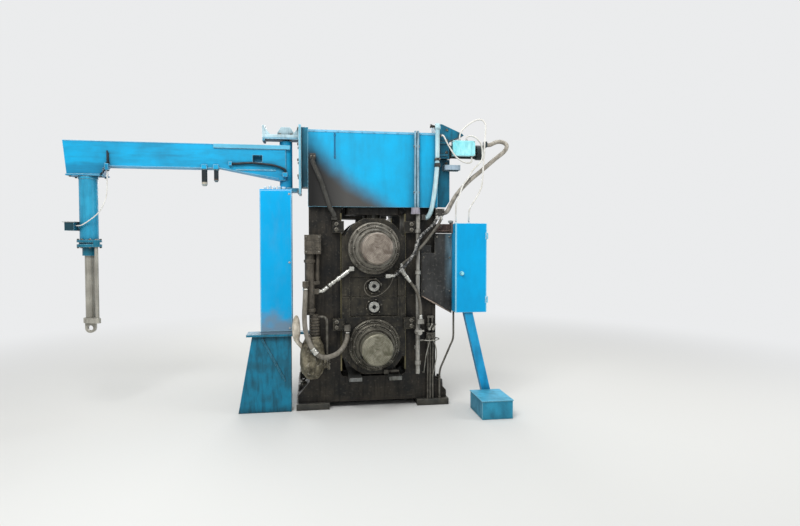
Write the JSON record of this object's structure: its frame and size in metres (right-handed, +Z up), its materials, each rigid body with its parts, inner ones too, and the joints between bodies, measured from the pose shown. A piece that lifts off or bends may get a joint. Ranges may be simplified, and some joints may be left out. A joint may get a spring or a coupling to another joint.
{
  "type": "four-high rolling mill stand",
  "caption": "Four-high rolling mill stand with two window housings, nested roll chocks, a front hood, a roll-change jib with a lifting cylinder, and side boxes.",
  "frame": {"origin": "on the floor, under the middle of the rolls, at the centre of the anchor bolts", "axes": "+X with the strip, from entry to exit; +Y along the rolls, from the operator side to the drive side; +Z up"},
  "size_m": [4.208, 2.165, 2.8284],
  "materials": {
    "dirty_iron": "greasy painted casting",
    "sole": "greasy machined casting",
    "tie_paint": "blue enamel",
    "hood_paint": "bright blue enamel, grimy corner",
    "box_paint": "bright blue enamel",
    "teal_paint": "dirty teal-blue enamel",
    "liner": "worn bronze liner",
    "chock": "oily casting",
    "cap": "oily turned steel",
    "roll": "ground roll steel",
    "steel": "machined steel",
    "motor": "dark painted casting",
    "cyan_paint": "cyan enamel",
    "pale_pipe": "pale grey pipe paint",
    "casting": "light cast alloy",
    "guard": "worn grey sheet",
    "fitting": "zinc-plated hose fitting",
    "grey_hose": "dusty grey hose",
    "black_hose": "black hose",
    "pale_cable": "pale cable sheath"
  },
  "bodies": {
    "stand": {"operator_housing": "dirty_iron", "drive_housing": "dirty_iron", "sole_plates": "sole", "upper_ties": "tie_paint", "lower_ties": "sole", "window_liners": "liner", "chock_rails": "steel", "keeper_plates": "chock", "gap_cylinders": "steel", "bottom_backup_chocks": "chock", "bottom_work_chocks": "chock", "bottom_end_caps": "cap", "entry_table": "steel", "exit_table": "steel", "spray_headers": "steel", "front_hood": "hood_paint", "gear_case": "teal_paint", "gap_motor": "motor", "motor_terminal_box": "cyan_paint", "motor_bracket": "teal_paint", "jib_bracket": "hood_paint", "tall_enclosure": "box_paint", "enclosure_pedestal": "teal_paint", "junction_box": "box_paint", "box_shelf": "guard", "prop_leg": "hood_paint", "foot_block": "teal_paint", "left_actuator": "chock", "actuator_casting": "casting", "riser_pipes": "pale_pipe", "side_guard": "guard", "upper_hoses": "grey_hose", "left_chock_hose": "black_hose", "right_chock_hose": "grey_hose", "left_hose": "grey_hose", "box_cables": "pale_cable", "hood_pipes": "pale_pipe", "lower_pipes": "pale_pipe"},
    "top_set": {"top_backup_chocks": "chock", "top_work_chocks": "chock", "top_end_caps": "cap", "gap_plungers": "steel", "chock_fittings": "fitting", "loop_cable": "pale_cable"},
    "top_backup": {"top_backup_roll": "roll"},
    "top_work": {"top_work_roll": "roll"},
    "bottom_backup": {"bottom_backup_roll": "roll"},
    "bottom_work": {"bottom_work_roll": "roll"},
    "jib": {"jib_arm": "hood_paint", "lift_cylinder": "hood_paint", "jib_hoses": "black_hose"},
    "lift": {"lift_rod": "steel"},
    "box_door": {"junction_door": "box_paint"}
  },
  "joints": [
    {"name": "gap_lift", "type": "slide", "parent": "stand", "child": "top_set", "axis": [0, 0, 1], "range_m": [0, 0.035], "deforming": ["upper_hoses", "left_chock_hose", "right_chock_hose"]},
    {"name": "roll_drive", "type": "hinge", "parent": "stand", "child": "bottom_backup", "pos_m": [0, 0, 0.6187], "axis": [0, 1, 0], "continuous": true},
    {"name": "bottom_work_spin", "type": "hinge", "parent": "stand", "child": "bottom_work", "pos_m": [0, 0, 0.984], "axis": [0, 1, 0], "continuous": true},
    {"name": "top_work_spin", "type": "hinge", "parent": "top_set", "child": "top_work", "pos_m": [0, 0, 1.186], "axis": [0, 1, 0], "continuous": true},
    {"name": "top_backup_spin", "type": "hinge", "parent": "top_set", "child": "top_backup", "pos_m": [0, 0, 1.5513], "axis": [0, 1, 0], "continuous": true},
    {"name": "jib_swing", "type": "hinge", "parent": "stand", "child": "jib", "pos_m": [-0.835, -0.47, 0], "axis": [0, 0, 1], "range_deg": [-10, 95]},
    {"name": "lift_rod_slide", "type": "slide", "parent": "jib", "child": "lift", "axis": [0, 0, 1], "range_m": [0, 0.45]},
    {"name": "box_door_hinge", "type": "hinge", "parent": "stand", "child": "box_door", "pos_m": [1.086, -0.8503, 0], "axis": [0, 0, 1], "range_deg": [0, 110]}
  ],
  "couplings": [
    {"joint": "bottom_work_spin", "follows": "roll_drive", "ratio": -2.65},
    {"joint": "top_work_spin", "follows": "roll_drive", "ratio": 2.65},
    {"joint": "top_backup_spin", "follows": "roll_drive", "ratio": -1}
  ]
}
